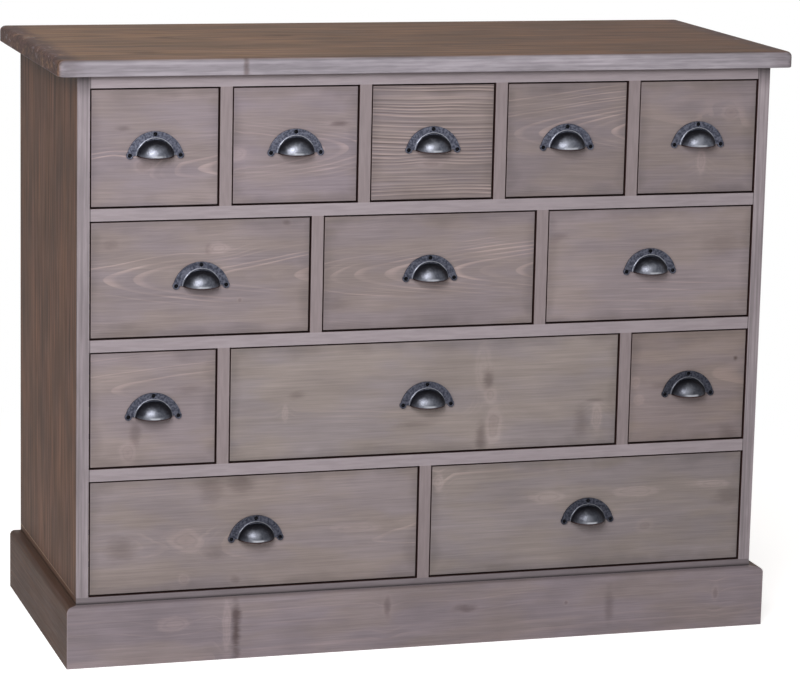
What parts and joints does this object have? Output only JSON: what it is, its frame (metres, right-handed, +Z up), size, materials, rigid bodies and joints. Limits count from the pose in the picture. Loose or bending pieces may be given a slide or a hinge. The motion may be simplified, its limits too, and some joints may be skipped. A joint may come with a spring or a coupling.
{
  "type": "chest of drawers",
  "caption": "Wide floor-standing chest of drawers in stained pine, with small and large drawers, iron cup pulls, an overhanging top and a plinth base, for storage.",
  "frame": {"origin": "on the floor, under the middle of the box that the whole chest fills", "axes": "+Z up, +X to the right as seen from the front, +Y from the front to the back"},
  "size_m": [1.25, 0.5414, 0.995],
  "materials": {
    "top_pine": "brown-grey stained pine, satin",
    "side_pine": "dark brown-grey stained pine, satin",
    "front_pine": "mauve-grey stained pine, satin",
    "plinth_pine": "mauve-grey stained pine, satin",
    "frame_pine": "pine boards, stained grey where they show",
    "plain_pine": "unfinished pine blocks",
    "drawer_pine": "unfinished pine drawer sides with a plywood bottom",
    "back_plywood": "unfinished plywood",
    "beech": "fluted beech dowels",
    "cast_iron": "dark cast iron, waxed and a little worn",
    "steel_screws": "plain steel wood screws"
  },
  "bodies": {
    "carcass": {"top_board": "top_pine", "side_left": "side_pine", "side_right": "side_pine", "bottom_panel": "frame_pine", "shelf_upper": "frame_pine", "shelf_middle": "frame_pine", "shelf_lower": "frame_pine", "top_rail_front": "frame_pine", "top_rail_back": "frame_pine", "back_panel": "back_plywood", "dividers_top_row": "frame_pine", "dividers_middle_rows": "frame_pine", "divider_bottom_row": "frame_pine", "plinth_front": "plinth_pine", "plinth_left": "plinth_pine", "plinth_right": "plinth_pine", "plinth_back": "plain_pine", "plinth_blocks": "plain_pine", "drawer_stops": "plain_pine", "carcass_dowels": "beech", "carcass_screws": "steel_screws"},
    "drawer_01": {"drawer_01_front": "front_pine", "drawer_01_box": "drawer_pine", "drawer_01_pull": "cast_iron"},
    "drawer_02": {"drawer_02_front": "front_pine", "drawer_02_box": "drawer_pine", "drawer_02_pull": "cast_iron"},
    "drawer_03": {"drawer_03_front": "front_pine", "drawer_03_box": "drawer_pine", "drawer_03_pull": "cast_iron"},
    "drawer_04": {"drawer_04_front": "front_pine", "drawer_04_box": "drawer_pine", "drawer_04_pull": "cast_iron"},
    "drawer_05": {"drawer_05_front": "front_pine", "drawer_05_box": "drawer_pine", "drawer_05_pull": "cast_iron"},
    "drawer_06": {"drawer_06_front": "front_pine", "drawer_06_box": "drawer_pine", "drawer_06_pull": "cast_iron"},
    "drawer_07": {"drawer_07_front": "front_pine", "drawer_07_box": "drawer_pine", "drawer_07_pull": "cast_iron"},
    "drawer_08": {"drawer_08_front": "front_pine", "drawer_08_box": "drawer_pine", "drawer_08_pull": "cast_iron"},
    "drawer_09": {"drawer_09_front": "front_pine", "drawer_09_box": "drawer_pine", "drawer_09_pull": "cast_iron"},
    "drawer_10": {"drawer_10_front": "front_pine", "drawer_10_box": "drawer_pine", "drawer_10_pull": "cast_iron"},
    "drawer_11": {"drawer_11_front": "front_pine", "drawer_11_box": "drawer_pine", "drawer_11_pull": "cast_iron"},
    "drawer_12": {"drawer_12_front": "front_pine", "drawer_12_box": "drawer_pine", "drawer_12_pull": "cast_iron"},
    "drawer_13": {"drawer_13_front": "front_pine", "drawer_13_box": "drawer_pine", "drawer_13_pull": "cast_iron"}
  },
  "joints": [
    {"name": "drawer_01_slide", "type": "slide", "parent": "carcass", "child": "drawer_01", "axis": [0, -1, 0], "range_m": [0, 0.34]},
    {"name": "drawer_02_slide", "type": "slide", "parent": "carcass", "child": "drawer_02", "axis": [0, -1, 0], "range_m": [0, 0.34]},
    {"name": "drawer_03_slide", "type": "slide", "parent": "carcass", "child": "drawer_03", "axis": [0, -1, 0], "range_m": [0, 0.34]},
    {"name": "drawer_04_slide", "type": "slide", "parent": "carcass", "child": "drawer_04", "axis": [0, -1, 0], "range_m": [0, 0.34]},
    {"name": "drawer_05_slide", "type": "slide", "parent": "carcass", "child": "drawer_05", "axis": [0, -1, 0], "range_m": [0, 0.34]},
    {"name": "drawer_06_slide", "type": "slide", "parent": "carcass", "child": "drawer_06", "axis": [0, -1, 0], "range_m": [0, 0.34]},
    {"name": "drawer_07_slide", "type": "slide", "parent": "carcass", "child": "drawer_07", "axis": [0, -1, 0], "range_m": [0, 0.34]},
    {"name": "drawer_08_slide", "type": "slide", "parent": "carcass", "child": "drawer_08", "axis": [0, -1, 0], "range_m": [0, 0.34]},
    {"name": "drawer_09_slide", "type": "slide", "parent": "carcass", "child": "drawer_09", "axis": [0, -1, 0], "range_m": [0, 0.34]},
    {"name": "drawer_10_slide", "type": "slide", "parent": "carcass", "child": "drawer_10", "axis": [0, -1, 0], "range_m": [0, 0.34]},
    {"name": "drawer_11_slide", "type": "slide", "parent": "carcass", "child": "drawer_11", "axis": [0, -1, 0], "range_m": [0, 0.34]},
    {"name": "drawer_12_slide", "type": "slide", "parent": "carcass", "child": "drawer_12", "axis": [0, -1, 0], "range_m": [0, 0.34]},
    {"name": "drawer_13_slide", "type": "slide", "parent": "carcass", "child": "drawer_13", "axis": [0, -1, 0], "range_m": [0, 0.34]}
  ]
}
